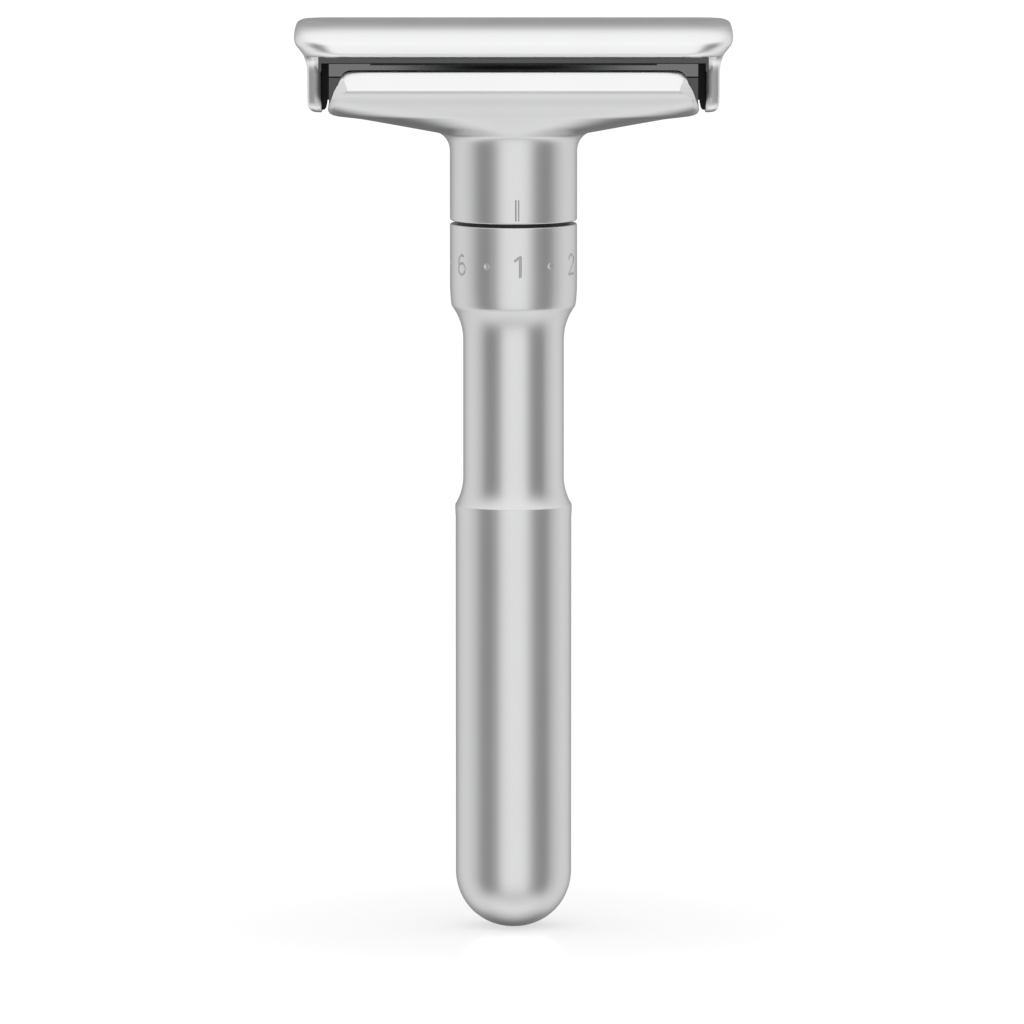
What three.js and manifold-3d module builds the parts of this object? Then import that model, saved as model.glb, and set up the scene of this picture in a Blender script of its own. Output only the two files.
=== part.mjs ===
// Adjustable double-edge safety razor, in millimetres, +Z up the handle.
//
// The razor hangs upright in a stand, whose fork holds the neck just under the guard. The origin is
// there, on the handle's axis. +X runs along the width of the head, and the index mark faces -Y. The
// dial at the top of the handle is at its lowest setting. Heights below are measured up the handle
// from a level close to its round end, and the whole razor is lowered to the origin at the end.
//
// Turning the handle under the head screws the spindle out of a nut held in the handle. The spindle
// carries the blade platform, so the blade rises from the guard. The cap pulls straight off two
// spring catches under the platform, and then the blade lifts off the platform.

import * as THREE from 'three';
import { mergeVertices } from 'three/addons/utils/BufferGeometryUtils.js';
import Module from 'manifold-3d';

// ---- driving dimensions ----

const HANDLE_RADIUS = 7.65;
const HANDLE_BOTTOM = -0.3;
const END_BLUNTNESS = 2.06; // 2 would be a true half ball
const SHOULDER_HEIGHT = 55.9; // the top of the thick lower handle
const WAIST_RADIUS = 6.65;
const WAIST_BOTTOM = 59.7;
const WAIST_TOP = 77.8;
const LOWER_COVE_RADIUS = 7.2;
const UPPER_COVE_RADIUS = 7.55;
const DIAL_RADIUS = 8.4;
const DIAL_BOTTOM = 82.3;
const DIAL_TOP = 93.25;

const NECK_BOTTOM = 93.68;
const NECK_TOP = 102.4;
const STAND_HEIGHT = 103; // where a stand's fork holds the neck
const CREASE_HEIGHT = 111.65; // the guard's most forward line
const GUARD_FLOOR = 113.1;
const GUARD_BAR_TOP = 114.02;
const GUARD_BAR_INNER = 11.2;

const HEAD_TOP = 120.3;
const CAP_UNDERSIDE = 115.8;
const CAP_ARM_INNER = 25.2;
// The tongue on the inside of each arm steps back below the guard's bed.
const CAP_TONGUE = { inner: 24.28, footInner: 24.58, halfDepth: 4, step: 109.8, bottom: 108.5 };

const BLADE_HALF_LENGTH = 21.5;
const BLADE_HALF_WIDTH = 11;
const BLADE_THICKNESS = 0.1;
const BLADE_HOLE_RADIUS = 2.75;
const BLADE_CREST = 115.85; // the middle of the blade's thickness, on the centre line
const CAMBER_RADIUS = 60; // the clamped blade is bent to this radius
const BLADE_GAP = 0.05;
const BLADE_NOTCH = { x: 18.8, y: 7.8 }; // the corners are cut back to here

const PLATFORM_HALF_LENGTH = 24.2;
const PLATFORM_HALF_WIDTH = 9.8;
const PLATFORM_BOTTOM = 113.3;
const BED_BOTTOM = 109.2; // the guard's bed, under the platform
const TROUGH = { halfLength: 21.4, depth: 1.1 }; // between the bed and each guard bar
const STUD_SPACING = 29; // between the two cap studs, to suit the standard blade's end holes

const RUNNING = 0.1; // clearance all round between a shaft and its bore
const DIAL_SWEEP = 300; // degrees from the lowest setting to the highest
const PIN_CIRCLE = 4.6; // radius on which the two handle pins stand

const ROUND = 44; // sides of a large turned surface
const SMALL_ROUND = 20;
const TINY_ROUND = 12;
const TOLERANCE = 1e-4;
const FAR = 60; // half the length of a cutting block that reaches past the whole head

// ---- solids ----

const wasm = await Module();
wasm.setup();

// Turns a closed three.js geometry into a solid with its faces outward.
function solid(geometry) {
  geometry.deleteAttribute('normal');
  geometry.deleteAttribute('uv');
  const merged = mergeVertices(geometry, TOLERANCE);
  const position = merged.attributes.position.array;
  const corners = merged.index.array;
  const kept = [];
  let volume = 0;
  for (let i = 0; i < corners.length; i += 3) {
    const [a, b, c] = corners.slice(i, i + 3);
    if (a === b || b === c || c === a) {
      continue;
    }
    kept.push(a, b, c);
    const [p, q, r] = [a, b, c].map((k) => new THREE.Vector3().fromArray(position, 3 * k));
    volume += p.dot(q.cross(r));
  }
  if (volume < 0) {
    kept.reverse();
  }
  const mesh = new wasm.Mesh({
    numProp: 3,
    vertProperties: new Float32Array(position),
    triVerts: new Uint32Array(kept),
  });
  return new wasm.Manifold(mesh);
}

function geometryOf(body) {
  const mesh = body.getMesh();
  const geometry = new THREE.BufferGeometry();
  geometry.setAttribute('position', new THREE.BufferAttribute(new Float32Array(mesh.vertProperties), 3));
  geometry.setIndex(new THREE.BufferAttribute(new Uint32Array(mesh.triVerts), 1));
  geometry.computeVertexNormals();
  return geometry;
}

// A turned solid from [radius, height] points, listed from the axis round to the axis.
function turned(profile, sides = ROUND) {
  const points = profile.map(([radius, height]) => new THREE.Vector2(radius, height));
  return solid(new THREE.LatheGeometry(points, sides).rotateX(Math.PI / 2));
}

// A turned ring from [radius, height] points that go round its section.
function ring(section, sides = ROUND) {
  return turned([...section, section[0]], sides);
}

function rod(radius, bottom, top, x = 0, y = 0, sides = SMALL_ROUND) {
  const geometry = new THREE.CylinderGeometry(radius, radius, top - bottom, sides);
  return solid(geometry.rotateX(Math.PI / 2).translate(x, y, (top + bottom) / 2));
}

function block([x0, x1], [y0, y1], [z0, z1]) {
  const geometry = new THREE.BoxGeometry(x1 - x0, y1 - y0, z1 - z0);
  return solid(geometry.translate((x0 + x1) / 2, (y0 + y1) / 2, (z0 + z1) / 2));
}

// A shape drawn in X and Y, raised from one height to another.
function prism(shape, bottom, top, curveSegments = 6) {
  const settings = { depth: top - bottom, bevelEnabled: false, curveSegments };
  const geometry = new THREE.ExtrudeGeometry(shape, settings);
  return solid(geometry.translate(0, 0, bottom));
}

// A shape drawn in Y and Z, run along the width of the head, the same distance to both sides.
function alongHead(shape, halfLength, curveSegments = 20) {
  const geometry = new THREE.ExtrudeGeometry(shape, {
    depth: 2 * halfLength,
    bevelEnabled: false,
    curveSegments,
  });
  const toHead = new THREE.Matrix4().makeBasis(
    new THREE.Vector3(0, 1, 0),
    new THREE.Vector3(0, 0, 1),
    new THREE.Vector3(1, 0, 0),
  );
  return solid(geometry.translate(0, 0, -halfLength).applyMatrix4(toHead));
}

// A solid skinned over level outlines. Each outline is a superellipse of half-sizes a and b, round at
// squareness 2 and closer to a rectangle above it.
function lofted(outlines, sides = ROUND) {
  const last = outlines.length - 1;
  const geometry = new THREE.CylinderGeometry(1, 1, 1, sides, last).rotateX(Math.PI / 2);
  const position = geometry.attributes.position;
  for (let i = 0; i < position.count; i += 1) {
    const [x, y, z] = [position.getX(i), position.getY(i), position.getZ(i)];
    const outline = outlines[Math.round((z + 0.5) * last)];
    const power = 2 / outline.squareness;
    const spread = (value) => Math.sign(value) * Math.abs(value) ** power;
    const level = Math.hypot(x, y) > 0.5 ? 1 : 0;
    position.setXYZ(
      i,
      (outline.x ?? 0) + level * outline.a * spread(Math.abs(x) < TOLERANCE ? 0 : x),
      level * outline.b * spread(Math.abs(y) < TOLERANCE ? 0 : y),
      outline.z,
    );
  }
  return solid(geometry);
}

// Points of an arc from one angle to another, in degrees.
function arc(centreRadius, centreHeight, radius, from, to, steps) {
  const points = [];
  for (let i = 0; i <= steps; i += 1) {
    const angle = THREE.MathUtils.degToRad(from + ((to - from) * i) / steps);
    points.push([centreRadius + radius * Math.cos(angle), centreHeight + radius * Math.sin(angle)]);
  }
  return points;
}

// The section under a cambered surface: from a level bottom up to the surface bent at one radius.
function underCamber(radius, halfWidth, bottom) {
  const axis = BLADE_CREST - CAMBER_RADIUS;
  const lean = Math.asin(halfWidth / radius);
  const shape = new THREE.Shape();
  shape.moveTo(-halfWidth, bottom);
  shape.lineTo(halfWidth, bottom);
  shape.absarc(0, axis, radius, Math.PI / 2 - lean, Math.PI / 2 + lean, false);
  return shape;
}

// ---- materials ----

const satinChrome = { color: 0xc9cacb, roughness: 0.34, metalness: 1 };
const brass = { color: 0xb98f4a, roughness: 0.4, metalness: 1 };
const steel = { color: 0xa9abad, roughness: 0.28, metalness: 1 };
const rubber = { color: 0x1a1a1b, roughness: 0.7, metalness: 0 };
const polymer = { color: 0x1d1d1f, roughness: 0.55, metalness: 0 };

const razor = new THREE.Group();
razor.name = 'safety_razor';
razor.position.z = -STAND_HEIGHT;

function add(name, body, material) {
  const mesh = new THREE.Mesh(geometryOf(body), new THREE.MeshStandardMaterial(material));
  mesh.name = name;
  razor.add(mesh);
}

// ---- handle, with the dial at its top ----

const NUT_SEAT = 82.6; // the floor of the handle's top bore
const NUT_BODY_RADIUS = 3.3;
const NUT_BOTTOM = 72.2;
const NUT_TOP = 84;
const SPIGOT_RADIUS = 6.1;
const SPIGOT_BOTTOM = 84.3;
const THREAD_RADIUS = 2;
const PIN_RADIUS = 0.6;
const LOCK_PIN_BOTTOM = 80.6;
const CAVITY_RADIUS = 5.7; // the thick lower handle is hollow
const CAVITY_BOTTOM = 10;
const CAVITY_TOP = 56;
const STOP_PIN_TOP = 86;

function handleOutline() {
  const power = 2 / END_BLUNTNESS;
  const end = arc(0, 0, 1, -90, 0, 11).map(([across, down]) => [
    HANDLE_RADIUS * Math.max(across, 0) ** power,
    HANDLE_BOTTOM + HANDLE_RADIUS * (1 - Math.abs(down) ** power),
  ]);
  return [
    ...end,
    [HANDLE_RADIUS + 0.06, SHOULDER_HEIGHT - 0.3],
    ...arc(WAIST_RADIUS + LOWER_COVE_RADIUS, WAIST_BOTTOM, LOWER_COVE_RADIUS, 211.5, 180, 5),
    ...arc(WAIST_RADIUS + UPPER_COVE_RADIUS, WAIST_TOP, UPPER_COVE_RADIUS, 180, 143.4, 6),
    [DIAL_RADIUS - 0.13, DIAL_BOTTOM + 0.65],
    [DIAL_RADIUS, DIAL_BOTTOM + 2.8],
    [DIAL_RADIUS, DIAL_TOP - 0.25],
    [DIAL_RADIUS - 0.25, DIAL_TOP],
  ];
}

function handleShell() {
  const outside = turned([...handleOutline(), [0, DIAL_TOP]]);
  const bores = turned([
    [0, CAVITY_BOTTOM],
    [CAVITY_RADIUS - 1, CAVITY_BOTTOM],
    [CAVITY_RADIUS, CAVITY_BOTTOM + 1],
    [CAVITY_RADIUS, CAVITY_TOP - 3],
    [THREAD_RADIUS + 0.6, CAVITY_TOP],
    [THREAD_RADIUS + 0.6, NUT_BOTTOM - RUNNING],
    [NUT_BODY_RADIUS + RUNNING, NUT_BOTTOM - RUNNING],
    [NUT_BODY_RADIUS + RUNNING, NUT_SEAT],
    [SPIGOT_RADIUS + RUNNING, NUT_SEAT],
    [SPIGOT_RADIUS + RUNNING, DIAL_TOP + 1],
    [0, DIAL_TOP + 1],
  ]);
  const [holeBottom, holeRadius] = [LOCK_PIN_BOTTOM - RUNNING, PIN_RADIUS + RUNNING];
  const lockHole = rod(holeRadius, holeBottom, NUT_TOP, PIN_CIRCLE, 0, TINY_ROUND);
  const stopHole = rod(holeRadius, holeBottom, NUT_TOP, -PIN_CIRCLE, 0, TINY_ROUND);
  return outside.subtract(bores).subtract(lockHole).subtract(stopHole);
}

function driveNut() {
  const nut = ring(
    [
      [THREAD_RADIUS + RUNNING, NUT_BOTTOM],
      [NUT_BODY_RADIUS, NUT_BOTTOM],
      [NUT_BODY_RADIUS, NUT_SEAT + RUNNING],
      [SPIGOT_RADIUS - RUNNING, NUT_SEAT + RUNNING],
      [SPIGOT_RADIUS - RUNNING, NUT_TOP],
      [THREAD_RADIUS + RUNNING, NUT_TOP],
    ],
    SMALL_ROUND,
  );
  const holes = [PIN_CIRCLE, -PIN_CIRCLE].map((x) =>
    rod(PIN_RADIUS + RUNNING, NUT_SEAT - 1, NUT_TOP + 1, x, 0, TINY_ROUND),
  );
  return nut.subtract(holes[0]).subtract(holes[1]);
}

const thrustWasher = ring(
  [
    [SPIGOT_RADIUS + 2 * RUNNING, DIAL_TOP + 0.02],
    [DIAL_RADIUS - 1, DIAL_TOP + 0.02],
    [DIAL_RADIUS - 1, NECK_BOTTOM - 0.02],
    [SPIGOT_RADIUS + 2 * RUNNING, NECK_BOTTOM - 0.02],
  ],
  ROUND,
);

add('handle_shell', handleShell(), satinChrome);
add('drive_nut', driveNut(), brass);
add('nut_lock_pin', rod(PIN_RADIUS, LOCK_PIN_BOTTOM, NUT_TOP, PIN_CIRCLE, 0, TINY_ROUND), steel);
add('stop_pin', rod(PIN_RADIUS, LOCK_PIN_BOTTOM, STOP_PIN_TOP, -PIN_CIRCLE, 0, TINY_ROUND), steel);
add('thrust_washer', thrustWasher, polymer);

// ---- guard head: the guard, its neck and the spigot that turns in the handle ----

const SPINDLE_RADIUS = 2.5;
const SPINDLE_FLAT = 1.9; // half the distance across the two flats
const SPRING_POCKET_RADIUS = 5.4;
const POCKET_FLOOR = 98;
const GUIDE_RADIUS = 4;
const GUIDE_BOTTOM = 90;
const GUIDE_FLANGE = 0.8;
const RING_GROOVE_HEIGHT = 87.9;
const RING_SECTION_RADIUS = 0.42;
const RING_GROOVE_HALF_HEIGHT = 0.6;
const GROOVE_CLEARANCE = 1; // degrees between the stop pin and the groove's end at each limit
const CATCH_POCKET = { inner: 6.4, outer: 19.4, halfWidth: 4.2, floor: 109.6 };
const INDEX_MARK = { x: 0.5, width: 0.55, bottom: 94.15, top: 96.95, depth: 0.2 };

// The guard widens from the round neck to a blunt rectangle, and its front bends back at the crease.
const GUARD_OUTLINES = [
  { z: NECK_TOP, a: DIAL_RADIUS, b: DIAL_RADIUS, squareness: 2 },
  { z: 103.4, a: 8.5, b: 8.45, squareness: 2 },
  { z: 104.2, a: 8.9, b: 8.65, squareness: 2 },
  { z: 104.9, a: 9.6, b: 8.8, squareness: 2 },
  { z: 105.2, a: 10.45, b: 8.9, squareness: 2 },
  { z: 106.5, a: 17, b: 9.8, squareness: 2.6 },
  { z: 107.75, a: 23.2, b: 10.6, squareness: 3.5 },
  { z: 108.3, a: 24.1, b: 11, squareness: 5 },
  { z: 108.9, a: 24.4, b: 11.4, squareness: 7 },
  { z: 109.6, a: 24.18, b: 11.9, squareness: 8 },
  { z: CREASE_HEIGHT, a: 23.4, b: 13.3, squareness: 9 },
  { z: 113.3, a: 22.6, b: 12.5, squareness: 9 },
  { z: GUARD_BAR_TOP, a: 21.9, b: 12.1, squareness: 9 },
];

function stopGroove() {
  const halfPin = THREE.MathUtils.radToDeg(PIN_RADIUS / PIN_CIRCLE) + GROOVE_CLEARANCE;
  const from = THREE.MathUtils.degToRad(180 - DIAL_SWEEP - halfPin);
  const to = THREE.MathUtils.degToRad(180 + halfPin);
  const shape = new THREE.Shape();
  shape.absarc(0, 0, PIN_CIRCLE + PIN_RADIUS + RUNNING, from, to, false);
  shape.absarc(0, 0, PIN_CIRCLE - PIN_RADIUS - RUNNING, to, from, true);
  return prism(shape, SPIGOT_BOTTOM - 1, STOP_PIN_TOP + 0.3, 28);
}

function guardHead() {
  const outside = turned([
    [0, SPIGOT_BOTTOM],
    [SPIGOT_RADIUS, SPIGOT_BOTTOM],
    [SPIGOT_RADIUS, NECK_BOTTOM],
    [DIAL_RADIUS - 0.25, NECK_BOTTOM],
    [DIAL_RADIUS, NECK_BOTTOM + 0.25],
    [DIAL_RADIUS, NECK_TOP],
    [0, NECK_TOP],
  ]);
  const bed = block(
    [-PLATFORM_HALF_LENGTH, PLATFORM_HALF_LENGTH],
    [-PLATFORM_HALF_WIDTH, PLATFORM_HALF_WIDTH],
    [BED_BOTTOM, GUARD_FLOOR],
  );
  const overBed = block([-FAR, FAR], [-GUARD_BAR_INNER, GUARD_BAR_INNER], [GUARD_FLOOR, HEAD_TOP]);
  const bores = turned([
    [0, SPIGOT_BOTTOM - 1],
    [SPINDLE_RADIUS + 2 * RUNNING, SPIGOT_BOTTOM - 1],
    [SPINDLE_RADIUS + 2 * RUNNING, GUIDE_BOTTOM],
    [GUIDE_RADIUS + RUNNING, GUIDE_BOTTOM],
    [GUIDE_RADIUS + RUNNING, POCKET_FLOOR],
    [SPRING_POCKET_RADIUS, POCKET_FLOOR],
    [SPRING_POCKET_RADIUS, HEAD_TOP],
    [0, HEAD_TOP],
  ]);
  const ringGroove = ring([
    [SPIGOT_RADIUS - 2 * RING_SECTION_RADIUS, RING_GROOVE_HEIGHT - RING_GROOVE_HALF_HEIGHT],
    [SPIGOT_RADIUS + 1, RING_GROOVE_HEIGHT - RING_GROOVE_HALF_HEIGHT],
    [SPIGOT_RADIUS + 1, RING_GROOVE_HEIGHT + RING_GROOVE_HALF_HEIGHT],
    [SPIGOT_RADIUS - 2 * RING_SECTION_RADIUS, RING_GROOVE_HEIGHT + RING_GROOVE_HALF_HEIGHT],
  ]);
  const mark = block(
    [INDEX_MARK.x - INDEX_MARK.width / 2, INDEX_MARK.x + INDEX_MARK.width / 2],
    [-DIAL_RADIUS - 1, -DIAL_RADIUS + INDEX_MARK.depth],
    [INDEX_MARK.bottom, INDEX_MARK.top],
  );
  let body = outside.add(lofted(GUARD_OUTLINES)).subtract(overBed).add(bed);
  const troughX = [-TROUGH.halfLength, TROUGH.halfLength];
  for (const side of [-1, 1]) {
    const pocketX = [side * CATCH_POCKET.inner, side * CATCH_POCKET.outer].sort((p, q) => p - q);
    const pocketY = [-CATCH_POCKET.halfWidth, CATCH_POCKET.halfWidth];
    const troughY = [side * PLATFORM_HALF_WIDTH, side * GUARD_BAR_INNER].sort((p, q) => p - q);
    body = body.subtract(block(pocketX, pocketY, [CATCH_POCKET.floor, HEAD_TOP]));
    body = body.subtract(block(troughX, troughY, [GUARD_FLOOR - TROUGH.depth, HEAD_TOP]));
  }
  return body.subtract(bores).subtract(ringGroove).subtract(stopGroove()).subtract(mark);
}

// The guide lets the spindle slide but not turn, and the main spring stands on its flange.
function spindleGuide() {
  const flangeRadius = SPRING_POCKET_RADIUS - RUNNING;
  const bush = turned(
    [
      [0, GUIDE_BOTTOM + RUNNING],
      [GUIDE_RADIUS, GUIDE_BOTTOM + RUNNING],
      [GUIDE_RADIUS, POCKET_FLOOR + RUNNING],
      [flangeRadius, POCKET_FLOOR + RUNNING],
      [flangeRadius, POCKET_FLOOR + GUIDE_FLANGE],
      [0, POCKET_FLOOR + GUIDE_FLANGE],
    ],
    SMALL_ROUND,
  );
  const across = SPINDLE_FLAT + RUNNING;
  const bore = rod(SPINDLE_RADIUS + RUNNING, GUIDE_BOTTOM - 1, POCKET_FLOOR + 2);
  const flats = block([-FAR, FAR], [-across, across], [GUIDE_BOTTOM - 2, POCKET_FLOOR + 3]);
  return bush.subtract(bore.intersect(flats));
}

function frictionRing() {
  const sectionRadius = RING_SECTION_RADIUS - 0.02;
  const torus = new THREE.TorusGeometry(SPIGOT_RADIUS - RING_SECTION_RADIUS, sectionRadius, 8, ROUND);
  return solid(torus.translate(0, 0, RING_GROOVE_HEIGHT));
}

add('guard_head', guardHead(), satinChrome);
add('spindle_guide', spindleGuide(), brass);
add('friction_ring', frictionRing(), rubber);

// ---- lift: the spindle and the blade platform with its catches ----

const HUB_RADIUS = 4.9;
const HUB_BOTTOM = 110.3;
const SPINDLE_BOTTOM = 73;
const SCREW_RADIUS = 1.2;
const SCREW_HEAD_RADIUS = 2.3;
const SCREW_SEAT = 113.6;
const SCREW_WASHER = 0.35;
const SCREW_BOTTOM = 102.5;
const SCREW_HEAD_HEIGHT = 1.3;
const CATCH_THICKNESS = 0.4;
const CATCH_SLOT = 1.45; // half the width between a catch's prongs
const CATCH_ROOT = { inset: 0.3, halfWidth: 2.6 }; // where a catch is riveted
const CATCH_PRONG = { shoulder: 3.4, tip: 3.9, mouth: 2.4, throat: 3.6, lead: 0.5 }; // from the stud's axis
const RIVET_X = 8.3;
const RIVET_RADIUS = 0.8;
const STUD_RADIUS = 1.9;
const STUD_TIP_RADIUS = 1.35;
const STUD_GROOVE_RADIUS = 1.1;
const STUD_BOTTOM = 110.9;
const STUD_TOP = 117.5;

function spindle() {
  const shaft = rod(SPINDLE_RADIUS, NUT_TOP + 0.8, HUB_BOTTOM - RUNNING);
  const flats = block([-FAR, FAR], [-SPINDLE_FLAT, SPINDLE_FLAT], [NUT_TOP, HUB_BOTTOM]);
  const thread = rod(THREAD_RADIUS, SPINDLE_BOTTOM, NUT_TOP + 2);
  const screwHole = rod(SCREW_RADIUS + RUNNING, SCREW_BOTTOM - 0.5, HUB_BOTTOM + 1, 0, 0, TINY_ROUND);
  return shaft.intersect(flats).add(thread.intersect(flats)).add(thread).subtract(screwHole);
}

function bladePlatform() {
  const top = CAMBER_RADIUS - BLADE_THICKNESS / 2 - BLADE_GAP;
  const bed = alongHead(underCamber(top, PLATFORM_HALF_WIDTH, PLATFORM_BOTTOM), PLATFORM_HALF_LENGTH);
  const hub = rod(HUB_RADIUS, HUB_BOTTOM, PLATFORM_BOTTOM + 0.5);
  let body = bed.add(hub);
  body = body.subtract(rod(SCREW_RADIUS + RUNNING, HUB_BOTTOM - 1, SCREW_SEAT + 1, 0, 0, TINY_ROUND));
  body = body.subtract(rod(SCREW_HEAD_RADIUS + 2 * RUNNING, SCREW_SEAT, HEAD_TOP));
  for (const side of [-1, 1]) {
    const rivetHole = RIVET_RADIUS + RUNNING;
    const studHole = STUD_RADIUS + 2 * RUNNING;
    const studX = (side * STUD_SPACING) / 2;
    body = body.subtract(rod(studHole, PLATFORM_BOTTOM - 1, HEAD_TOP, studX));
    body = body.subtract(rod(rivetHole, PLATFORM_BOTTOM - 1, HEAD_TOP, side * RIVET_X, 0, TINY_ROUND));
  }
  return body;
}

// A flat fork, riveted under the platform, whose two prongs grip the groove of a cap stud.
function capCatch(side) {
  const studX = STUD_SPACING / 2;
  const outline = new THREE.Shape();
  const { shoulder, tip, mouth, throat, lead } = CATCH_PRONG;
  const root = CATCH_POCKET.inner + CATCH_ROOT.inset;
  outline.moveTo(side * root, -CATCH_ROOT.halfWidth);
  outline.lineTo(side * (studX + shoulder), -shoulder);
  outline.lineTo(side * (studX + tip), -CATCH_SLOT - lead);
  outline.lineTo(side * (studX + mouth), -CATCH_SLOT);
  outline.lineTo(side * (studX - throat), -CATCH_SLOT);
  outline.lineTo(side * (studX - throat), CATCH_SLOT);
  outline.lineTo(side * (studX + mouth), CATCH_SLOT);
  outline.lineTo(side * (studX + tip), CATCH_SLOT + lead);
  outline.lineTo(side * (studX + shoulder), shoulder);
  outline.lineTo(side * root, CATCH_ROOT.halfWidth);
  const top = PLATFORM_BOTTOM - 0.05;
  const fork = prism(outline, top - CATCH_THICKNESS, top);
  return fork.subtract(rod(RIVET_RADIUS + RUNNING, top - 2, top + 2, side * RIVET_X, 0, TINY_ROUND));
}

function catchRivet(side) {
  const seat = PLATFORM_BOTTOM - 0.1 - CATCH_THICKNESS;
  const shank = rod(RIVET_RADIUS, seat - 0.3, PLATFORM_BOTTOM + 1.9, side * RIVET_X, 0, TINY_ROUND);
  return shank.add(rod(RIVET_RADIUS + 0.6, seat - 0.6, seat, side * RIVET_X, 0, TINY_ROUND));
}

class Helix extends THREE.Curve {
  constructor(radius, bottom, top, turns) {
    super();
    Object.assign(this, { radius, bottom, top, turns });
  }

  getPoint(t) {
    const angle = 2 * Math.PI * this.turns * t;
    const height = this.bottom + (this.top - this.bottom) * t;
    return new THREE.Vector3(this.radius * Math.cos(angle), this.radius * Math.sin(angle), height);
  }
}

function mainSpring() {
  const wire = 0.42;
  const turns = 5;
  const section = new THREE.Shape();
  section.absarc(0, 0, wire, 0, 2 * Math.PI, false);
  const low = POCKET_FLOOR + GUIDE_FLANGE + wire + RUNNING;
  const high = HUB_BOTTOM - wire - RUNNING;
  const path = new Helix(SPRING_POCKET_RADIUS - 1.1, low, high, turns);
  const coil = { steps: 18 * turns, extrudePath: path, curveSegments: 4, bevelEnabled: false };
  return solid(new THREE.ExtrudeGeometry(section, coil));
}

function platformScrew() {
  const headBottom = SCREW_SEAT + SCREW_WASHER + 0.1;
  const shank = rod(SCREW_RADIUS, SCREW_BOTTOM, headBottom + 0.2, 0, 0, TINY_ROUND);
  const head = rod(SCREW_HEAD_RADIUS, headBottom, headBottom + SCREW_HEAD_HEIGHT);
  const slot = block([-FAR, FAR], [-0.3, 0.3], [headBottom + 0.7, HEAD_TOP]);
  return shank.add(head).subtract(slot);
}

const screwWasher = ring(
  [
    [SCREW_RADIUS + 2 * RUNNING, SCREW_SEAT + 0.05],
    [SCREW_HEAD_RADIUS, SCREW_SEAT + 0.05],
    [SCREW_HEAD_RADIUS, SCREW_SEAT + 0.05 + SCREW_WASHER],
    [SCREW_RADIUS + 2 * RUNNING, SCREW_SEAT + 0.05 + SCREW_WASHER],
  ],
  SMALL_ROUND,
);

add('spindle', spindle(), steel);
add('blade_platform', bladePlatform(), satinChrome);
add('platform_screw', platformScrew(), steel);
add('screw_washer', screwWasher, steel);
for (const [label, side] of [['left', -1], ['right', 1]]) {
  add(`cap_catch_${label}`, capCatch(side), steel);
  add(`catch_rivet_${label}`, catchRivet(side), brass);
}
add('main_spring', mainSpring(), steel);

// ---- blade ----

// Standard double-edge blade: notched corners, and three round holes joined by a slot.
function doubleEdgeBlade() {
  const { x: edge, y: tab } = BLADE_NOTCH;
  const outline = new THREE.Shape();
  outline.moveTo(-edge, -BLADE_HALF_WIDTH);
  outline.lineTo(edge, -BLADE_HALF_WIDTH);
  outline.lineTo(edge, -tab);
  outline.lineTo(BLADE_HALF_LENGTH, -tab);
  outline.lineTo(BLADE_HALF_LENGTH, tab);
  outline.lineTo(edge, tab);
  outline.lineTo(edge, BLADE_HALF_WIDTH);
  outline.lineTo(-edge, BLADE_HALF_WIDTH);
  outline.lineTo(-edge, tab);
  outline.lineTo(-BLADE_HALF_LENGTH, tab);
  outline.lineTo(-BLADE_HALF_LENGTH, -tab);
  outline.lineTo(-edge, -tab);
  const [low, high] = [GUARD_FLOOR, HEAD_TOP];
  const outer = underCamber(CAMBER_RADIUS + BLADE_THICKNESS / 2, BLADE_HALF_WIDTH + 0.5, GUARD_FLOOR);
  const inner = underCamber(CAMBER_RADIUS - BLADE_THICKNESS / 2, BLADE_HALF_WIDTH + 1, GUARD_FLOOR - 1);
  let strip = alongHead(outer, FAR / 2).subtract(alongHead(inner, FAR / 2 + 1));
  strip = strip.intersect(prism(outline, low, high));
  strip = strip.subtract(block([-STUD_SPACING / 2, STUD_SPACING / 2], [-1, 1], [low, high]));
  for (const x of [-STUD_SPACING / 2, 0, STUD_SPACING / 2]) {
    strip = strip.subtract(rod(BLADE_HOLE_RADIUS, low, high, x, 0, SMALL_ROUND));
  }
  return strip;
}

add('double_edge_blade', doubleEdgeBlade(), steel);

// ---- cap ----

const LIP_HALF_WIDTH = 10.3; // the blade is clamped along this line
const CLAMP_BOTTOM = 114.9;

// The crown is a shallow dome from front to back, and its ends roll down into the arms.
const CAP_OUTLINES = [
  { z: CAP_UNDERSIDE, a: 27.5, b: 11.3, squareness: 7 },
  { z: 116.2, a: 27.65, b: 11.8, squareness: 7 },
  { z: 116.9, a: 28.3, b: 12, squareness: 7 },
  { z: 117.8, a: 28.8, b: 11.7, squareness: 7 },
  { z: 118.4, a: 28.84, b: 10.95, squareness: 7 },
  { z: 119.2, a: 28.7, b: 9.7, squareness: 7 },
  { z: 119.8, a: 28.3, b: 7.4, squareness: 6 },
  { z: 120.15, a: 27.9, b: 4.8, squareness: 5 },
  { z: HEAD_TOP, a: 27.5, b: 2.4, squareness: 4 },
];

// Levels of one end arm: height, outer face and half depth.
const ARM_LEVELS = [
  [108.25, 25.95, 5.2],
  [108.45, 26.5, 6],
  [108.95, 26.92, 6.6],
  [110.2, 27.08, 6.9],
  [113.4, 27.08, 7.2],
  [114.4, 27.14, 7.5],
  [115.2, 27.32, 8],
  [CAP_UNDERSIDE, 27.5, 8.8],
  [116.6, 27.7, 9],
];

function capArm(side) {
  const outlines = ARM_LEVELS.map(([z, outer, halfDepth]) => ({
    z,
    x: (side * (outer + CAP_ARM_INNER)) / 2,
    a: (outer - CAP_ARM_INNER) / 2,
    b: halfDepth,
    squareness: 4,
  }));
  return lofted(outlines, 32);
}

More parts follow.
